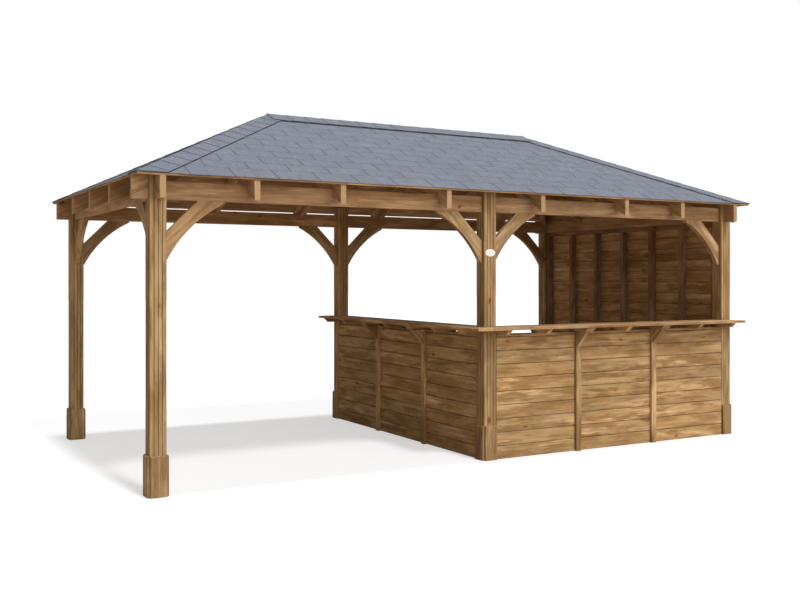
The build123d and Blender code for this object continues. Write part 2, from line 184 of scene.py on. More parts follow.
class GardenBarStudio(bpy.types.PropertyGroup):
    """Light and camera of the stage"""

    key_strength: FloatProperty(name="Key strength", description="Strength of the key light", default=1.75)
    key_side: FloatProperty(name="Key side", description="Key light's angle to the right of the front",
                            default=math.radians(8), subtype="ANGLE")
    key_height: FloatProperty(name="Key height", description="Key light's angle above the floor",
                              default=math.radians(54), subtype="ANGLE")
    key_softness: FloatProperty(name="Key softness", description="Angle that the key light spans",
                                default=math.radians(9), subtype="ANGLE")
    fill_strength: FloatProperty(name="Fill strength", default=1.6,
                                 description="Strength of the wide, low light from the front")
    fill_height: FloatProperty(name="Fill height", description="Fill light's angle above the floor",
                               default=math.radians(15), subtype="ANGLE")
    fill_softness: FloatProperty(name="Fill softness", description="Angle that the fill light spans",
                                 default=math.radians(60), subtype="ANGLE")
    top_strength: FloatProperty(name="Top strength", description="Strength of the light from overhead",
                                default=1.7)
    room_strength: FloatProperty(name="Room strength", description="Strength of the even light all round",
                                 default=0.28)
    camera_place: FloatVectorProperty(name="Camera place", description="Where the camera stands",
                                      default=(-4.7387, -8.1870, 1.5535), subtype="TRANSLATION",
                                      unit="LENGTH")
    camera_heading: FloatProperty(name="Camera heading", description="Camera's turn to the right of the rear",
                                  default=math.radians(29.248), subtype="ANGLE")
    lens: FloatProperty(name="Lens", description="Camera's focal length", default=43.425, unit="CAMERA")


# Node helpers


def node(tree, kind, links=None, **settings):
    """A shader node, with its inputs given as values or as sockets to link."""
    made = tree.nodes.new(kind)
    for key, value in settings.items():
        setattr(made, key, value)
    for key, value in (links or {}).items():
        if isinstance(value, bpy.types.NodeSocket):
            tree.links.new(value, made.inputs[key])
        else:
            made.inputs[key].default_value = value
    return made


def maths(tree, operation, a, b=0.0):
    return node(tree, "ShaderNodeMath", {0: a, 1: b}, operation=operation).outputs[0]


def times(tree, a, b):
    return maths(tree, "MULTIPLY", a, b)


def line(tree, value, base, scale):
    """The base plus the value times the scale."""
    return maths(tree, "ADD", base, times(tree, value, scale))


def vector_maths(tree, operation, a, b):
    return node(tree, "ShaderNodeVectorMath", {0: a, 1: b}, operation=operation)


def scaled(tree, vector, scale):
    return vector_maths(tree, "MULTIPLY", vector, scale).outputs[0]


def parts(tree, vector):
    """The three parts of a vector or a colour."""
    return node(tree, "ShaderNodeSeparateXYZ", {0: vector}).outputs


def between(tree, value, low, high, out_low=0.0, out_high=1.0):
    """Smooth step of a value from one range to another."""
    return node(tree, "ShaderNodeMapRange", {0: value, 1: low, 2: high, 3: out_low, 4: out_high},
                interpolation_type="SMOOTHSTEP").outputs[0]


def mixed(tree, factor, a, b):
    return node(tree, "ShaderNodeMix", {0: factor, 6: a, 7: b}, data_type="RGBA").outputs[2]


def laid(tree, under, over, where, share):
    """One colour over another, where the value says and to the share."""
    return mixed(tree, times(tree, where, share), under, over)


def grown(tree, colour, value):
    """A colour times a value."""
    return node(tree, "ShaderNodeVectorMath", {0: colour, "Scale": value}, operation="SCALE").outputs[0]


def noise(tree, vector, scale=1.0, detail=2.0, rough=0.5):
    return node(tree, "ShaderNodeTexNoise",
                {"Vector": vector, "Scale": scale, "Detail": detail, "Roughness": rough})


def kept(tree, name):
    """A vector that each piece's mesh keeps at its points."""
    return node(tree, "ShaderNodeAttribute", attribute_name=name).outputs["Vector"]


def tinted(colour, red, green, blue):
    """Shares of a colour's three parts, held at 1."""
    return (*(min(part * share, 1) for part, share in zip(colour, (red, green, blue))), 1)


def roughen(tree, surface, height, strength, distance):
    """Small relief on a finish."""
    bump = node(tree, "ShaderNodeBump", {"Height": height, "Strength": strength, "Distance": distance})
    tree.links.new(bump.outputs[0], surface.inputs["Normal"])


def bare_tree(owner, output):
    """A material's or a world's nodes, cleared, with only the output in them."""
    owner.use_nodes = True
    owner.node_tree.nodes.clear()
    return owner.node_tree, owner.node_tree.nodes.new(output)


def new_finish(name):
    finish = bpy.data.materials.new(name)
    tree, output = bare_tree(finish, "ShaderNodeOutputMaterial")
    surface = tree.nodes.new("ShaderNodeBsdfPrincipled")
    tree.links.new(surface.outputs[0], output.inputs[0])
    return finish, tree, surface


# Finishes


def timber_finish(name, colour, figure, knots):
    """Softwood: rings about a heart beside each board, flames, streaks, fibres, knots and paler end grain."""
    finish, tree, surface = new_finish(name)
    grain, lie, board = kept(tree, "grain"), kept(tree, "lie"), kept(tree, "board")
    place, looks = parts(tree, grain), parts(tree, board)

    # Rings about a heart that wanders a little, each darker towards its end, some years darker
    wander = noise(tree, scaled(tree, grain, (1.3, 2.5, 2.5))).outputs["Color"]
    wander = vector_maths(tree, "ADD", wander, (-0.5, -0.5, -0.5)).outputs[0]
    wander = parts(tree, scaled(tree, wander, (0, 0.06, 0.06)))
    across = maths(tree, "ADD", line(tree, place[0], place[1], 0.012), wander[1])
    through = maths(tree, "ADD", line(tree, place[0], place[2], 0.008), wander[2])
    flat = node(tree, "ShaderNodeCombineXYZ", {0: 0.0, 1: across, 2: through}).outputs[0]
    radius = node(tree, "ShaderNodeVectorMath", {0: flat}, operation="LENGTH").outputs["Value"]
    ring = maths(tree, "FRACT", times(tree, radius, RINGS_A_METRE))
    late = times(tree, between(tree, ring, 0.3, 0.9), between(tree, ring, 1.0, 0.93))
    year = node(tree, "ShaderNodeTexNoise", {"W": times(tree, radius, 55.0), "Detail": 2.0},
                noise_dimensions="1D").outputs[0]
    year = between(tree, year, 0.36, 0.64)

    # Flames, bare patches, streaks, fibres and clouds, all drawn out along the grain
    flame = noise(tree, scaled(tree, grain, (2.7, 13, 13)), 1.0, 5.0, 0.64).outputs[0]
    flame = between(tree, flame, 0.4, 0.62)
    bare = noise(tree, scaled(tree, grain, (0.95, 9, 9)), 1.0, 4.0, 0.6).outputs[0]
    bare = times(tree, between(tree, bare, 0.51, 0.67), between(tree, flame, 1.4, 0.2))
    streak = noise(tree, scaled(tree, grain, (3.0, 75, 75)), 1.0, 3.0, 0.6).outputs[0]
    streak = between(tree, streak, 0.36, 0.64)
    fibre = noise(tree, scaled(tree, grain, (14, 950, 950))).outputs[0]
    cloud = noise(tree, scaled(tree, grain, (0.9, 7, 7))).outputs[0]
    cloud = between(tree, cloud, 0.33, 0.67)

    # Knots, with a halo round each
    bend = grown(tree, noise(tree, scaled(tree, grain, (20, 45, 45))).outputs["Color"], 0.22)
    bent = vector_maths(tree, "ADD", scaled(tree, grain, (3.9, 8.5, 8.5)), bend).outputs[0]
    cell = node(tree, "ShaderNodeTexVoronoi", {"Vector": bent, "Scale": 1.0}).outputs
    present = maths(tree, "GREATER_THAN", parts(tree, cell["Color"])[0], 1.0 - 0.5 * knots)
    core = times(tree, between(tree, cell["Distance"], 0.17, 0.06), present)
    halo = times(tree, between(tree, cell["Distance"], 0.5, 0.1), present)

    # End grain, where the surface faces along the board
    normal = node(tree, "ShaderNodeNewGeometry").outputs["Normal"]
    end = vector_maths(tree, "DOT_PRODUCT", normal, lie).outputs["Value"]
    end = between(tree, maths(tree, "ABSOLUTE", end), 0.8, 0.95)

    gold, brown = tinted(colour, 1.25, 1.32, 1.5), tinted(colour, 0.58, 0.51, 0.43)
    cream, mauve = tinted(colour, 2.2, 2.4, 2.9), tinted(colour, 0.8, 0.77, 0.84)
    ruddy, pale = tinted(colour, 1.04, 0.86, 0.66), tinted(colour, 1.2, 1.24, 1.35)
    knot = tinted(colour, 0.36, 0.26, 0.2)
    side = laid(tree, gold, brown, flame, figure)
    side = laid(tree, side, cream, bare, 0.8 * figure)
    side = laid(tree, side, mauve, cloud, 0.5 * figure)
    side = laid(tree, side, brown, late, 0.2 * figure)
    side = laid(tree, side, brown, year, 0.25 * figure)
    side = laid(tree, side, ruddy, between(tree, looks[1], -0.2, 1.0), 0.25)
    side = laid(tree, side, ruddy, halo, 0.5)
    side = grown(tree, side, line(tree, streak, 0.93, 0.3))
    side = grown(tree, side, line(tree, fibre, 0.93, 0.14))
    side = laid(tree, side, knot, core, 0.85)
    butt = laid(tree, pale, brown, late, 0.45)
    butt = grown(tree, butt, line(tree, fibre, 0.9, 0.24))
    whole = mixed(tree, end, side, butt)
    whole = grown(tree, whole, line(tree, looks[0], 1.0, 0.09))
    # Rounded edges a little lighter with wear; groove bottoms darker, which is painted shade
    worn = times(tree, maths(tree, "MAXIMUM", looks[2], 0.0), 0.14)
    painted_groove_shade = times(tree, maths(tree, "MINIMUM", looks[2], 0.0), 0.65)
    whole = grown(tree, whole, maths(tree, "ADD", 1.0, maths(tree, "ADD", worn, painted_groove_shade)))
    tree.links.new(whole, surface.inputs["Base Color"])

    tree.links.new(line(tree, streak, 0.72, 0.16), surface.inputs["Roughness"])
    surface.inputs["Specular IOR Level"].default_value = 0.16
    height = maths(tree, "ADD", times(tree, fibre, 0.7), times(tree, late, 0.5))
    height = maths(tree, "SUBTRACT", height, times(tree, core, 0.5))
    roughen(tree, surface, height, 0.45, 0.0009)
    return finish


def grit_finish(name, colour):
    """Mineral grit on felt: fine speckle, soft blotches, a tone for each tab."""
    finish, tree, surface = new_finish(name)
    grain, board = kept(tree, "grain"), kept(tree, "board")
    looks = parts(tree, board)
    speck = noise(tree, grain, 420.0, 2.0, 0.7).outputs[0]
    coarse = node(tree, "ShaderNodeTexVoronoi", {"Vector": grain, "Scale": 260.0}).outputs["Color"]
    shade = parts(tree, coarse)[0]
    blotch = noise(tree, grain, 9.0, 3.0, 0.6).outputs[0]
    worn = noise(tree, scaled(tree, grain, (16, 2.2, 1)), 1.0, 3.0, 0.6).outputs[0]
    blue, grey = tinted(colour, 0.9, 1.0, 1.12), tinted(colour, 1.1, 1.02, 0.94)
    # A tab's hue lies between -1 and 1, so each is a little to one side of the middle
    whole = mixed(tree, between(tree, looks[1], -8.0, 8.0), blue, grey)
    whole = grown(tree, whole, between(tree, shade, 0.0, 1.0, 0.74, 1.28))
    whole = grown(tree, whole, between(tree, speck, 0.25, 0.75, 0.8, 1.2))
    whole = grown(tree, whole, between(tree, blotch, 0.25, 0.75, 0.92, 1.08))
    whole = grown(tree, whole, between(tree, worn, 0.25, 0.75, 0.96, 1.04))
    whole = grown(tree, whole, line(tree, looks[0], 1.0, 0.03))
    tree.links.new(whole, surface.inputs["Base Color"])
    surface.inputs["Roughness"].default_value = 0.9
    surface.inputs["Specular IOR Level"].default_value = 0.25
    roughen(tree, surface, line(tree, shade, speck, 0.6), 0.5, 0.0012)
    return finish


def felt_finish(name, colour):
    """Bitumen felt on the shingles' cut edges, and the dark sheet under the tabs, which is painted shade in
    the slits.
    """
    finish, tree, surface = new_finish(name)
    grain = kept(tree, "grain")
    mottle = noise(tree, grain, 160.0, 3.0, 0.6).outputs[0]
    whole = grown(tree, colour, between(tree, mottle, 0.25, 0.75, 0.7, 1.4))
    tree.links.new(whole, surface.inputs["Base Color"])
    tree.links.new(between(tree, mottle, 0.2, 0.8, 0.65, 0.9), surface.inputs["Roughness"])
    surface.inputs["Specular IOR Level"].default_value = 0.25
    roughen(tree, surface, mottle, 0.3, 0.0008)
    return finish


def enamel_finish(name, colour):
    """Satin enamel with a faint orange-peel and a slightly worn rim."""
    finish, tree, surface = new_finish(name)
    grain, board = kept(tree, "grain"), kept(tree, "board")
    looks = parts(tree, board)
    peel = noise(tree, grain, 700.0, 1.0).outputs[0]
    cloud = noise(tree, grain, 45.0, 3.0, 0.6).outputs[0]
    rim = times(tree, looks[2], between(tree, cloud, 0.4, 0.7))
    whole = laid(tree, (*colour, 1), tinted(colour, 0.6, 0.6, 0.6), rim, 0.35)
    whole = grown(tree, whole, between(tree, cloud, 0.2, 0.8, 0.97, 1.02))
    tree.links.new(whole, surface.inputs["Base Color"])
    tree.links.new(between(tree, cloud, 0.2, 0.8, 0.26, 0.38), surface.inputs["Roughness"])
    roughen(tree, surface, peel, 0.06, 0.0003)
    return finish


def finish_named(name):
    """The finish of that name, made from the user's colours when it is first asked for."""
    if name in bpy.data.materials:
        return bpy.data.materials[name]
    colours = bpy.context.scene.garden_bar_finishes
    if name == "shingle_grit":
        return grit_finish(name, colours.shingle)
    if name == "felt_edge_and_painted_slit_shade":
        return felt_finish(name, colours.felt)
    if name == "white_enamel":
        return enamel_finish(name, colours.disc)
    timbers = {
        "post_softwood": (colours.post, 0.65, 0.4),
        "foot_softwood": (colours.foot, 0.85, 0.6),
        "frame_softwood": (colours.frame, 0.75, 0.6),
        # Studs darker than the frame, as painted shade
        "stud_painted_shade_softwood": (colours.stud, 0.8, 0.6),
        "brace_softwood": (colours.brace, 0.85, 0.4),
        "wall_softwood": (colours.wall, 1.0, 0.8),
        # End wall lighter than the walls, as painted light
        "end_wall_painted_light_softwood": (colours.end_wall, 1.0, 0.8),
        "bar_softwood": (colours.bar, 1.0, 0.6),
        "roof_softwood": (colours.roof, 0.9, 0.8),
    }
    return timber_finish(name, *timbers[name])


# Boards, tabs and timbers gathered into pieces


def side_faces(n):
    """Faces between two like outlines of n points, the second one's points after the first one's."""
    return [[i, (i + 1) % n, n + (i + 1) % n, n + i] for i in range(n)]


class Pile:
    """Boards or tabs gathered into one mesh, each with its own grain, lie and tone."""

    def __init__(self, name):
        self.name = name
        self.draw = random.Random(name)
        self.points, self.faces, self.finish = [], [], []
        self.grain, self.lie, self.board = [], [], []

    def add(self, points, faces, along, across, finish=None, arris=None):
        """One solid. along is its grain's direction, and across the way its width runs.

        arris tells for each point whether it is worn, at 1, or sunk in a groove, at -1, where the finish
        paints shade.
        """
        along = along.normalized()
        third = along.cross(across).normalized()
        across = third.cross(along)
        centre = sum(points, Vector()) / len(points)
        turn, reach = self.draw.uniform(0, math.tau), self.draw.uniform(*HEART_BESIDE)
        shift = Vector((self.draw.uniform(*FIGURE_START), reach * math.cos(turn), reach * math.sin(turn)))
        tone, hue = self.draw.uniform(-1, 1), self.draw.uniform(-1, 1)
        start = len(self.points)
        for i, point in enumerate(points):
            local = point - centre
            self.points.append(point)
            self.grain.append(Vector((local.dot(along), local.dot(across), local.dot(third))) + shift)
            self.lie.append(along)
            self.board.append(Vector((tone, hue, arris[i] if arris else 0.0)))
        self.faces += [[start + i for i in face] for face in faces]
        self.finish += finish or [0] * len(faces)

    def sweep(self, start, end, along, across):
        """One board between two like outlines."""
        n = len(start)
        faces = side_faces(n) + [list(range(n))[::-1], list(range(n, 2 * n))]
        self.add(start + end, faces, along, across)

    def piece(self, finishes, slot, *nodes):
        """The object: it rides on the body, takes the finishes and stands for the nodes. The slot is not
        used.
        """
        mesh = bpy.data.meshes.new(self.name)
        mesh.from_pydata(self.points, [], self.faces)
        for key, values in (("grain", self.grain), ("lie", self.lie), ("board", self.board)):
            layer = mesh.attributes.new(key, "FLOAT_VECTOR", "POINT")
            layer.data.foreach_set("vector", [c for v in values for c in v])
        for name in finishes:
            mesh.materials.append(finish_named(name))
        mesh.polygons.foreach_set("material_index", self.finish)
        made = bmesh.new()
        made.from_mesh(mesh)
        bmesh.ops.recalc_face_normals(made, faces=made.faces)
        made.to_mesh(mesh)
        made.free()
        obj = bpy.data.objects.new(self.name, mesh)
        bpy.context.scene.collection.objects.link(obj)
        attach(obj, "root")
        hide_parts(*nodes)
        return obj


def islands(made):
    """The separate solids of a mesh, as lists of faces."""
    left = set(made.faces)
    for first in made.faces[:]:
        if first not in left:
            continue
        left.discard(first)
        group, unvisited = [first], [first]
        while unvisited:
            face = unvisited.pop()
            for edge in face.edges:
                for other in edge.link_faces:
                    if other in left:
                        left.discard(other)
                        group.append(other)
                        unvisited.append(other)
        yield group


def low_corner(faces):
    """The low corner of a solid's box, to the millimetre, which puts solids in one order each run."""
    return [round(min(v.co[axis] for f in faces for v in f.verts), 3) for axis in range(3)]


def way_of(edge):
    """An edge's direction, turned so that its largest part is positive."""
    way = (edge.verts[1].co - edge.verts[0].co).normalized()
    return way if max(way, key=lambda c: round(abs(c), 3)) > 0 else -way


def directions(faces):
    """The longest edge's direction in a solid, and the next longest about square to it.

    A short stub's grain runs level, as it does in the beam that the stub carries on. Edges of one
    length are taken by place, so that every run gives the same grain.
    """
    def rank(edge):
        start, end = (vert.co for vert in edge.verts)
        return [-round(edge.calc_length(), 4)] + [round(a + b, 4) for a, b in zip(start, end)]

    edges = sorted({e for f in faces for e in f.edges}, key=rank)
    if edges[0].calc_length() < SHORT_STUB:
        edges.sort(key=lambda e: abs(e.verts[1].co.z - e.verts[0].co.z) > 0.9 * e.calc_length())
    along = way_of(edges[0])
    for edge in edges:
        across = way_of(edge)
        if abs(across.dot(along)) < 0.3:
            return along, across
    return along, along.orthogonal()


def dress(node_name, finish, slot, rounding, grooved=False):
    """A node's timbers with rounded edges and their own grain, in place of the node."""
    made = bmesh.new()
    made.from_mesh(frame["nodes"][node_name].data)
    bmesh.ops.remove_doubles(made, verts=made.verts, dist=SAME_POINT)
    bmesh.ops.dissolve_limit(made, angle_limit=FLAT, verts=made.verts, edges=made.edges)
    corners = [e for e in made.edges if e.is_manifold and e.calc_face_angle_signed() > CORNER]
    rounded = bmesh.ops.bevel(made, geom=corners, offset=rounding, offset_type="OFFSET", segments=2,
                              profile=0.5, affect="EDGES", clamp_overlap=True)["faces"]
    rounded = set(rounded)
    # Points at the bottom of grooves, which the finish darkens as painted shade
    sunk = {v for e in made.edges if grooved and e.is_manifold and e.calc_face_angle_signed() < GROOVE
            for v in e.verts}
    # No corner may pass the node's box
    low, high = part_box(node_name)
    for vert in made.verts:
        vert.co = [min(max(c, a), b) for c, a, b in zip(vert.co, low, high)]
    made.verts.index_update()
    pile = Pile(f"{node_name}_timber")
    for group in sorted(islands(made), key=low_corner):
        along, across = directions(group)
        verts = sorted({v for f in group for v in f.verts}, key=lambda v: v.index)
        place = {v: i for i, v in enumerate(verts)}
        arris = [-1.0 if v in sunk else 1.0 if rounded.issuperset(v.link_faces) else 0.0 for v in verts]
        faces = [[place[v] for v in f.verts] for f in group]
        pile.add([v.co.copy() for v in verts], faces, along, across, None, arris)
    made.free()
    return pile.piece([finish], slot, node_name)


def rows(low, high, step, first=0.0):
    """Each board's lower and upper edge, from one height to another, the last board cut to fit."""
    edges = [low, low + first] if first else [low]
    while edges[-1] + step < high - step * LEAST_ROW:
        edges.append(edges[-1] + step)
    return list(zip(edges, edges[1:] + [high]))


def wall_boards(name, low, high, panels, inside, sizes):
    """Level boards with chamfered edges and a narrow slot between them, in panels side by side.

    inside is the way from the wall's outside to its inside, along its thickness.
    """
    pile = Pile(f"{name}_boards")
    size = high - low
    thick = 0 if size.x < size.y else 1
    run = 1 - thick
    edges = [low[run] + size[run] * i / panels for i in range(panels + 1)]
    along, into = Vector(), Vector()
    along[run] = into[thick] = 1
    for panel in range(panels):
        start = edges[panel] + (HALF_PANEL_GAP if panel else END_GAP)
        end = edges[panel + 1] - (HALF_PANEL_GAP if panel < panels - 1 else END_GAP)
        for bottom, top in rows(low.z, high.z, sizes.wall_board, sizes.first_board):
            g = sizes.wall_groove
            outline = []
            for face, way in ((low[thick], 1), (high[thick], -1)):
                edge = bottom + (sizes.wall_seam if way == inside else sizes.inner_seam) / 2
                half = [(face + way * SLOT_DEPTH, bottom), (face + way * SLOT_DEPTH, edge),
                        (face + way * g, edge), (face, edge + g)]
                half += [(depth, bottom + top - height) for depth, height in reversed(half)]
                outline += half if way == 1 else half[::-1]
            ends = [[along * place + into * depth + UP * height for depth, height in outline]
                    for place in (start, end)]
            pile.sweep(*ends, along, UP)
    return pile


# The roof's slopes


class Slope:
    """One roof slope: x along its eave, s up it and h off its boards."""

    def __init__(self, side):
        low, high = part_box(f"{side}_shingles")
        ways = {"front": (0, 1, 0), "rear": (0, -1, 0), "left": (1, 0, 0), "right": (-1, 0, 0)}
        self.inward = Vector(ways[side])
        self.along = self.inward.cross(UP)
        size = high - low
        level = 1 if side in ("front", "rear") else 0
        self.half = size[1 - level] / 2
        self.run = size[level]
        self.top = self.run / math.cos(PITCH)
        centre = (low + high) / 2
        self.origin = Vector((centre.x, centre.y, low.z)) - self.inward * self.run / 2
        self.normal = (UP * math.cos(PITCH) - self.inward * math.sin(PITCH)).normalized()
        self.up = (UP * math.sin(PITCH) + self.inward * math.cos(PITCH)).normalized()

    def point(self, x, s, h=0.0, off=None):
        return self.origin + self.along * x + self.up * s + (off or self.normal) * h

    def sides(self):
        """Signed distances inside both hips and the ridge."""
        cosine = math.cos(PITCH)
        return [lambda p: self.half - p[1] * cosine - p[0], lambda p: self.half - p[1] * cosine + p[0],
                lambda p: self.top - p[1]]


def sheet_faces(n):
    """Faces of a thin piece whose upper outline of n points comes first: top, underside and edges."""
    return [list(range(n)), list(range(n, 2 * n))[::-1]] + side_faces(n)


def clipped(outline, sides):
    """A flat outline cut to the inside of every side."""
    for inside in sides:
        cut = []
        for i, p in enumerate(outline):
            q = outline[(i + 1) % len(outline)]
            a, b = inside(p), inside(q)
            if a >= 0:
                cut.append(p)
            if (a > 0 > b) or (a < 0 < b):
                t = a / (a - b)
                cut.append(tuple(u + (v - u) * t for u, v in zip(p, q)))
        outline = cut
        if len(outline) < 3:
            return []
    return outline


def roof_boards(side, step, groove):
    """Boards from eave to ridge, mitred at the hips and chamfered below."""
    slope = Slope(side)
    pile = Pile(f"{side}_roof_boards_laid")
    cosine = math.cos(PITCH)
    plumb = ROOF_BOARD_THICKNESS / cosine
    for low, high in rows(0.0, slope.top, step):
        outline = [(low, 0), (high, 0), (high, -plumb + groove), (high - groove, -plumb),
                   (low + groove, -plumb), (low, -plumb + groove)]
        outline = [(min(s, slope.top), z) for s, z in outline]
        ends = [[slope.point(way * (slope.half - s * cosine), s) + UP * z for s, z in outline]
                for way in (-1, 1)]
        length = slope.half - high * cosine
        joint = pile.draw.uniform(-JOINT_REACH, JOINT_REACH) * max(length, 0)
        if length > HALF_ROW_OF_ONE:
            middle = [slope.point(joint, s) + UP * z for s, z in outline]
            pile.sweep(ends[0], middle, slope.along, slope.up)
            pile.sweep(middle, ends[1], slope.along, slope.up)
        else:
            pile.sweep(*ends, slope.along, slope.up)
    return pile


def lay_tab(pile, slope, outline, s0, s1):
    """One shingle tab: thick at its lower edge, thin under the next course, with cut felt edges."""
    if not outline:
        return
    points = []
    for raised in (1, 0):
        for x, s in outline:
            top = TAB_TOP - TAB_TAPER * (s - s0) / (s1 - s0)
            points.append(slope.point(x, s, top if raised else max(top - TAB_THICKNESS, TAB_LEAST_UNDER)))
    n = len(outline)
    edges = [0 if max(outline[i][1], outline[(i + 1) % n][1]) < s0 + LOWER_EDGE else 1 for i in range(n)]
    pile.add(points, sheet_faces(n), slope.along, slope.up, [0, 1] + edges)


def shingle_courses(side, sizes):
    """A dark felt sheet under the tabs, painted shade in the slits, and courses of tabs from eave to ridge,
    each course half a tab along from the last.
    """
    slope = Slope(side)
    pile = Pile(f"{side}_shingle_tabs")
    sides = slope.sides()
    # The dark sheet under the tabs is painted shade, seen in the slits between tabs
    under = clipped([(-slope.half, -SHADE_SHEET_PAST_EAVE), (slope.half, -SHADE_SHEET_PAST_EAVE), (slope.half, slope.top),
                     (-slope.half, slope.top)], sides)
    points = [slope.point(x, s, h) for h in (SLIT_SHADE_SHEET, 0.0) for x, s in under]
    n = len(under)
    pile.add(points, sheet_faces(n), slope.along, slope.up, [1] * (n + 2))
    low, course = 0.0, 0
    while low < slope.top - LEAST_COURSE:
        high = low + (sizes.eave_course if course == 0 else sizes.shingle_course)
        s0 = low - (TAB_PAST_EAVE if course == 0 else 0)
        s1 = min(high + TAB_LAP, slope.top)
        place = FIRST_SLIT + (0 if course % 2 else 0.5) * sizes.shingle_tab
        place -= math.ceil((place + slope.half) / sizes.shingle_tab) * sizes.shingle_tab
        while place < slope.half:
            a, b = place + sizes.shingle_slit / 2, place + sizes.shingle_tab - sizes.shingle_slit / 2
            drop = pile.draw.uniform(-TAB_UNEVEN, TAB_UNEVEN)
            tab = clipped([(a, s0 + drop), (b, s0 + drop), (b, s1), (a, s1)], sides)
            lay_tab(pile, slope, tab, s0, s1)
            place += sizes.shingle_tab
        low, course = high, course + 1
    return pile


def cap_top(cap, along, off):
    """Height of a cap's top: along runs from 0 at its butt to 1, and off from 0 at the fold to 1."""
    top, taper, spread = cap
    return top - taper * max(0.0, min(1.0, along)) + spread * min(1.0, off)


def lay_leaf(pile, slope, outline, fold, off, height):
    """One leaf of a folded cap. fold tells the points on the fold, where both leaves meet."""
    if len(outline) < 3:
        return
    points = []
    for raised in (1, 0):
        for p in outline:
            h = height(p) if raised else CAP_UNDER
            points.append(slope.point(*p, h, off if fold(p) else None))
    n = len(outline)
    pile.add(points, sheet_faces(n), slope.along, slope.up, [0, 1] + [1] * n)


def hip_caps(pile, side_a, side_b, sizes):
    """Folded caps up one hip, from the eave to the ridge's end."""
    for side, other in ((side_a, side_b), (side_b, side_a)):
        slope, across = Slope(side), Slope(other)
        off = (slope.normal + across.normal) / (1 + slope.normal.dot(across.normal))
        way = 1 if slope.along.dot(across.inward) < 0 else -1
        hip_line = Vector((-way * slope.run, slope.top)).normalized()
        inner = Vector((-way * slope.top, -slope.run)).normalized()
        corner = Vector((way * slope.half, 0))
        length = math.hypot(slope.run, slope.top)
        sides = slope.sides()[2:] + [lambda p: p[1] + TAB_PAST_EAVE]
        # On an end slope, whose hips meet, the caps of each hip keep to their own half
        if slope.half < slope.run + 0.01:
            sides.append(lambda p: way * p[0])

        def off_fold(p):
            return (Vector(p) - corner).dot(inner)

        sides.append(lambda p: off_fold(p) + 1e-7)
        low, first = 0.0, True
        while low < length - LEAST_COURSE:
            high = min(low + (FIRST_CAP if first else sizes.cap_course), length)
            t0, t1 = (low - CAP_PAST_CORNER if first else low), min(high + CAP_LAP, length)

            def height(p, t0=low, t1=t1):
                t = ((Vector(p) - corner).dot(hip_line) - t0) / (t1 - t0)
                return cap_top(HIP_CAP, t, off_fold(p) / sizes.cap_width)

            places = ((t0, 0), (t1, 0), (t1, sizes.cap_width), (t0, sizes.cap_width))
            outline = clipped([tuple(corner + hip_line * t + inner * w) for t, w in places], sides)
            lay_leaf(pile, slope, outline, lambda p: off_fold(p) < ON_FOLD, off, height)
            low, first = high, False


def ridge_caps(sizes):
    """Folded caps from both ends of the ridge to its middle."""
    pile = Pile("ridge_cap_tabs")
    slope, other = Slope("front"), Slope("rear")
    off = (slope.normal + other.normal) / (1 + slope.normal.dot(other.normal))
    half = slope.half - slope.run
    count = max(2, round(half / sizes.cap_course))
    step = half / count
    for leaf in (slope, other):
        for way in (-1, 1):
            for i in range(count):
                outer, inner = half - i * step, half - (i + 1) * step - CAP_LAP
                inner = max(inner, -RIDGE_MEETING if way > 0 else 0.0)

                def height(p, outer=outer, inner=inner, way=way):
                    t = (outer - way * p[0]) / (outer - inner)
                    return cap_top(RIDGE_CAP, t, (leaf.top - p[1]) / sizes.cap_width)

                outline = [(way * outer, leaf.top), (way * outer, leaf.top - sizes.cap_width),
                           (way * inner, leaf.top - sizes.cap_width), (way * inner, leaf.top)]
                lay_leaf(pile, leaf, outline, lambda p: p[1] > leaf.top - ON_FOLD, off, height)
    return pile


# Operators, one for each piece or group of like pieces


class GardenBarOperator:
    """Builds its pieces from the user's sizes."""

    bl_options = {"REGISTER", "UNDO"}

    def execute(self, context):
        self.build(context.scene.garden_bar_sizes)
        return {"FINISHED"}


class GARDENBAR_OT_posts(GardenBarOperator, bpy.types.Operator):
    """Six grooved posts with rounded corners"""

    bl_idname = "garden_bar.posts"
    bl_label = "Posts"

    def build(self, sizes):
        for row in ("front", "rear"):
            for place in ("left", "middle", "right"):
                dress(f"post_{row}_{place}", "post_softwood", "post_timber", sizes.timber_rounding, True)


class GARDENBAR_OT_foot_boards(GardenBarOperator, bpy.types.Operator):
    """Bevelled boards around the foot of each post"""

    bl_idname = "garden_bar.foot_boards"
    bl_label = "Foot Boards"

    def build(self, sizes):
        for row in ("front", "rear"):
            dress(f"{row}_foot_boards", "foot_softwood", "post_timber", sizes.timber_rounding * LIGHT_TIMBER)


class GARDENBAR_OT_beams(GardenBarOperator, bpy.types.Operator):
    """Ring beams between the posts"""

    bl_idname = "garden_bar.beams"
    bl_label = "Ring Beams"

    def build(self, sizes):
        for name in ("front_beams", "rear_beams", "left_end_beam", "right_end_beam"):
            dress(name, "frame_softwood", "frame_timber", sizes.timber_rounding)


class GARDENBAR_OT_braces(GardenBarOperator, bpy.types.Operator):
    """Bowed knee braces under the beams"""

    bl_idname = "garden_bar.braces"
    bl_label = "Braces"

    def build(self, sizes):
        for name in ("front_braces", "rear_braces", "left_end_braces"):
            dress(name, "brace_softwood", "frame_timber", sizes.timber_rounding)


class GARDENBAR_OT_rafters(GardenBarOperator, bpy.types.Operator):
    """Common, jack and hip rafters and the ridge board"""

    bl_idname = "garden_bar.rafters"
    bl_label = "Rafters"

    def build(self, sizes):
        for name in ("front_rafters", "rear_rafters", "left_rafters", "right_rafters", "right_end_blocks",
                     "hip_rafters", "ridge_board"):
            dress(name, "frame_softwood", "frame_timber", sizes.timber_rounding * LIGHT_TIMBER)


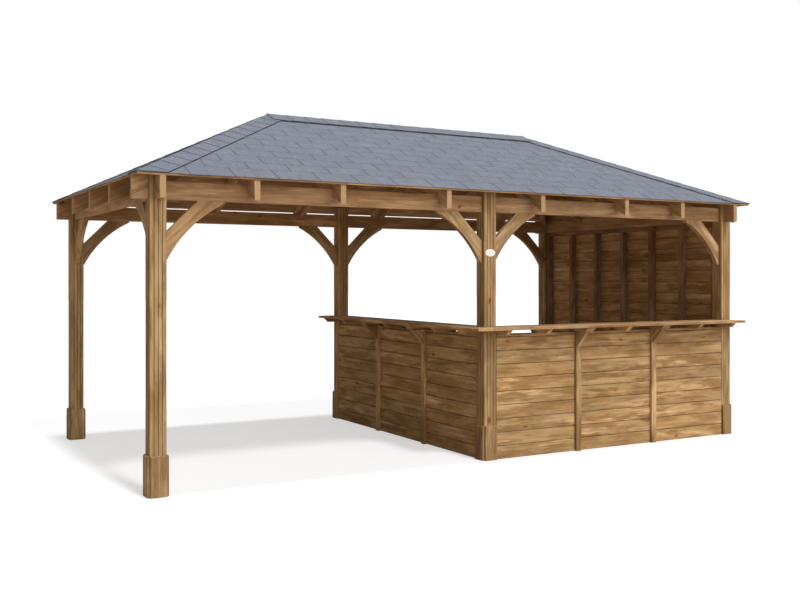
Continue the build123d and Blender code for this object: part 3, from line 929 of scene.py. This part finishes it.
class GARDENBAR_OT_roof_boards(GardenBarOperator, bpy.types.Operator):
    """Boards under the shingles, mitred at the hips"""

    bl_idname = "garden_bar.roof_boards"
    bl_label = "Roof Boards"

    def build(self, sizes):
        for side in SLOPES:
            pile = roof_boards(side, sizes.roof_board, sizes.roof_groove)
            pile.piece(["roof_softwood"], "roof_board_timber", f"{side}_roof_boards")


class GARDENBAR_OT_shingles(GardenBarOperator, bpy.types.Operator):
    """Courses of slit shingles on the four slopes"""

    bl_idname = "garden_bar.shingles"
    bl_label = "Shingles"

    def build(self, sizes):
        for side in SLOPES:
            pile = shingle_courses(side, sizes)
            pile.piece(["shingle_grit", "felt_edge_and_painted_slit_shade"], "shingle_felt", f"{side}_shingles")


class GARDENBAR_OT_caps(GardenBarOperator, bpy.types.Operator):
    """Folded caps over the hips and the ridge"""

    bl_idname = "garden_bar.caps"
    bl_label = "Hip and Ridge Caps"

    def build(self, sizes):
        for row in ("front", "rear"):
            pile = Pile(f"{row}_hip_cap_tabs")
            for side in ("left", "right"):
                hip_caps(pile, row, side, sizes)
            pile.piece(["shingle_grit", "felt_edge_and_painted_slit_shade"], "shingle_felt", f"{row}_hip_caps")
        ridge_caps(sizes).piece(["shingle_grit", "felt_edge_and_painted_slit_shade"], "shingle_felt", "ridge_cap")


class GARDENBAR_OT_walls(GardenBarOperator, bpy.types.Operator):
    """Level wall boards: two low walls in three panels each, and the full end wall"""

    bl_idname = "garden_bar.walls"
    bl_label = "Wall Boards"

    def build(self, sizes):
        for name, panels, inside, finish in (("front_wall", 3, 1, "wall_softwood"),
                                             ("cross_wall", 3, 1, "wall_softwood"),
                                             ("end_wall", 1, -1, "end_wall_painted_light_softwood")):
            low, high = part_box(name)
            pile = wall_boards(name, low, high, panels, inside, sizes)
            pile.piece([finish], "wall_board_timber", name)


class GARDENBAR_OT_wall_frames(GardenBarOperator, bpy.types.Operator):
    """Rails and studs behind the wall boards"""

    bl_idname = "garden_bar.wall_frames"
    bl_label = "Wall Frames"

    def build(self, sizes):
        for name in ("wall_rails", "wall_studs"):
            dress(name, "stud_painted_shade_softwood", "frame_timber", sizes.timber_rounding * LIGHT_TIMBER)


class GARDENBAR_OT_battens(GardenBarOperator, bpy.types.Operator):
    """Upright battens and the brackets at their heads"""

    bl_idname = "garden_bar.battens"
    bl_label = "Battens and Brackets"

    def build(self, sizes):
        dress("wall_battens", "wall_softwood", "wall_board_timber", sizes.timber_rounding * BATTEN)
        dress("bar_brackets", "brace_softwood", "frame_timber", sizes.timber_rounding * SMALL_TIMBER)


class GARDENBAR_OT_bar_tops(GardenBarOperator, bpy.types.Operator):
    """Bar boards along the front and the cross wall"""

    bl_idname = "garden_bar.bar_tops"
    bl_label = "Bar Tops"

    def build(self, sizes):
        for name in ("front_bar_top", "cross_bar_top"):
            dress(name, "bar_softwood", "bar_board_timber", sizes.timber_rounding)


class GARDENBAR_OT_joists(GardenBarOperator, bpy.types.Operator):
    """Short joists that carry the bar tops"""

    bl_idname = "garden_bar.joists"
    bl_label = "Bar Joists"

    def build(self, sizes):
        for name in ("front_bar_joists", "cross_bar_joists"):
            dress(name, "frame_softwood", "frame_timber", sizes.timber_rounding * SMALL_TIMBER)


class GARDENBAR_OT_disc(GardenBarOperator, bpy.types.Operator):
    """Small blank oval disc with a rounded rim"""

    bl_idname = "garden_bar.disc"
    bl_label = "Blank Disc"

    def build(self, sizes):
        low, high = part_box("blank_disc")
        centre, size = (low + high) / 2, high - low
        points, arris = [], []
        for share, rise in DISC_RINGS:
            for i in range(DISC_STEPS):
                turn = math.tau * i / DISC_STEPS
                x, z = size.x / 2 * share * math.cos(turn), size.z / 2 * share * math.sin(turn)
                points.append(Vector((centre.x + x, high.y - size.y * rise, centre.z + z)))
                arris.append(1.0 if share > 0.95 and rise > 0.5 else 0.0)
        last = (len(DISC_RINGS) - 1) * DISC_STEPS
        faces = [[ring + i for i in face] for ring in range(0, last, DISC_STEPS)
                 for face in side_faces(DISC_STEPS)]
        faces += [list(range(DISC_STEPS))[::-1], list(range(last, last + DISC_STEPS))]
        pile = Pile("blank_disc_enamel")
        pile.add(points, faces, Vector((1, 0, 0)), UP, None, arris)
        made = pile.piece(["white_enamel"], "disc_enamel", "blank_disc")
        made.data.shade_smooth()
        made.data.set_sharp_from_angle(angle=math.radians(40))


class GARDENBAR_OT_stage(bpy.types.Operator):
    """White floor, the key, fill and top lights, an even room and the camera"""

    bl_idname = "garden_bar.stage"
    bl_label = "Stage"
    bl_options = {"REGISTER", "UNDO"}

    def execute(self, context):
        studio = context.scene.garden_bar_studio
        self.floor(context.scene)
        self.lights(context.scene, studio)
        self.camera(context.scene, studio)
        context.scene.view_settings.view_transform = "Standard"
        return {"FINISHED"}

    def floor(self, scene):
        made = bmesh.new()
        corners = [made.verts.new((x * FLOOR_REACH, y * FLOOR_REACH, 0))
                   for x, y in ((-1, -1), (1, -1), (1, 1), (-1, 1))]
        made.faces.new(corners)
        mesh = bpy.data.meshes.new("white_floor")
        made.to_mesh(mesh)
        made.free()
        finish = bpy.data.materials.new("floor_white")
        tree, output = bare_tree(finish, "ShaderNodeOutputMaterial")
        seen = node(tree, "ShaderNodeLightPath").outputs["Is Camera Ray"]
        tone = mixed(tree, seen, FLOOR_TO_LIGHT, FLOOR_TO_CAMERA)
        plain = node(tree, "ShaderNodeBsdfDiffuse", {"Color": tone}).outputs[0]
        strength = times(tree, seen, FLOOR_GLOW)
        glow = node(tree, "ShaderNodeEmission", {"Color": (1, 1, 1, 1), "Strength": strength}).outputs[0]
        both = node(tree, "ShaderNodeAddShader", {0: plain, 1: glow}).outputs[0]
        tree.links.new(both, output.inputs[0])
        mesh.materials.append(finish)
        floor = bpy.data.objects.new("white_floor", mesh)
        scene.collection.objects.link(floor)

    def lights(self, scene, studio):
        self.sun(scene, "key_light", studio.key_strength, studio.key_softness, studio.key_side,
                 studio.key_height, WARM_WHITE)
        self.sun(scene, "front_fill", studio.fill_strength, studio.fill_softness, studio.key_side,
                 studio.fill_height, WARM_WHITE)
        self.sun(scene, "top_light", studio.top_strength, TOP_SOFTNESS, 0, TOP_HEIGHT, (1, 1, 1))
        world = bpy.data.worlds.new("white_room")
        scene.world = world
        tree, output = bare_tree(world, "ShaderNodeOutputWorld")
        path = node(tree, "ShaderNodeLightPath").outputs
        seen = maths(tree, "MAXIMUM", path["Is Camera Ray"], path["Is Glossy Ray"])
        seen = maths(tree, "MAXIMUM", seen, path["Is Transmission Ray"])
        strength = node(tree, "ShaderNodeMapRange", {0: seen, 3: studio.room_strength, 4: 1.0}).outputs[0]
        shade = mixed(tree, seen, ROOM_SHADE, (1, 1, 1, 1))
        light = node(tree, "ShaderNodeBackground", {"Color": shade, "Strength": strength}).outputs[0]
        tree.links.new(light, output.inputs[0])

    def sun(self, scene, name, strength, softness, side, height, colour):
        light = bpy.data.lights.new(name, "SUN")
        light.energy, light.angle, light.color = strength, softness, colour
        lamp = bpy.data.objects.new(name, light)
        level = math.cos(height)
        toward = Vector((math.sin(side) * level, -math.cos(side) * level, math.sin(height)))
        lamp.rotation_euler = toward.to_track_quat("Z", "Y").to_euler()
        lamp.location = toward * 12
        scene.collection.objects.link(lamp)

    def camera(self, scene, studio):
        lens = bpy.data.cameras.new("photo_camera")
        lens.lens = studio.lens
        lens.sensor_width = 36
        lens.shift_x, lens.shift_y = CAMERA_SHIFT
        camera = bpy.data.objects.new("photo_camera", lens)
        camera.location = studio.camera_place
        camera.rotation_euler = (math.radians(90), 0, -studio.camera_heading)
        scene.collection.objects.link(camera)
        scene.camera = camera


STEPS = (
    GARDENBAR_OT_posts,
    GARDENBAR_OT_foot_boards,
    GARDENBAR_OT_beams,
    GARDENBAR_OT_braces,
    GARDENBAR_OT_rafters,
    GARDENBAR_OT_roof_boards,
    GARDENBAR_OT_shingles,
    GARDENBAR_OT_caps,
    GARDENBAR_OT_walls,
    GARDENBAR_OT_wall_frames,
    GARDENBAR_OT_battens,
    GARDENBAR_OT_bar_tops,
    GARDENBAR_OT_joists,
    GARDENBAR_OT_disc,
    GARDENBAR_OT_stage,
)


class GARDENBAR_PT_pieces(bpy.types.Panel):
    """Lists the garden bar's pieces in the sidebar"""

    bl_idname = "GARDENBAR_PT_pieces"
    bl_label = "Garden Bar"
    bl_space_type = "VIEW_3D"
    bl_region_type = "UI"
    bl_category = "Garden Bar"

    def draw(self, context):
        for step in STEPS:
            self.layout.operator(step.bl_idname)


GROUPS = {
    "garden_bar_sizes": GardenBarSizes,
    "garden_bar_finishes": GardenBarFinishes,
    "garden_bar_studio": GardenBarStudio,
}


def register():
    for group in GROUPS.values():
        bpy.utils.register_class(group)
    for key, group in GROUPS.items():
        setattr(bpy.types.Scene, key, PointerProperty(type=group))
    for step in (*STEPS, GARDENBAR_PT_pieces):
        bpy.utils.register_class(step)


def unregister():
    for step in (GARDENBAR_PT_pieces, *reversed(STEPS)):
        bpy.utils.unregister_class(step)
    for key in GROUPS:
        delattr(bpy.types.Scene, key)
    for group in reversed(GROUPS.values()):
        bpy.utils.unregister_class(group)


def main():
    register()
    bpy.ops.garden_bar.posts()
    bpy.ops.garden_bar.foot_boards()
    bpy.ops.garden_bar.beams()
    bpy.ops.garden_bar.braces()
    bpy.ops.garden_bar.rafters()
    bpy.ops.garden_bar.roof_boards()
    bpy.ops.garden_bar.shingles()
    bpy.ops.garden_bar.caps()
    bpy.ops.garden_bar.walls()
    bpy.ops.garden_bar.wall_frames()
    bpy.ops.garden_bar.battens()
    bpy.ops.garden_bar.bar_tops()
    bpy.ops.garden_bar.joists()
    bpy.ops.garden_bar.disc()
    bpy.ops.garden_bar.stage()


if __name__ == "__main__":
    main()
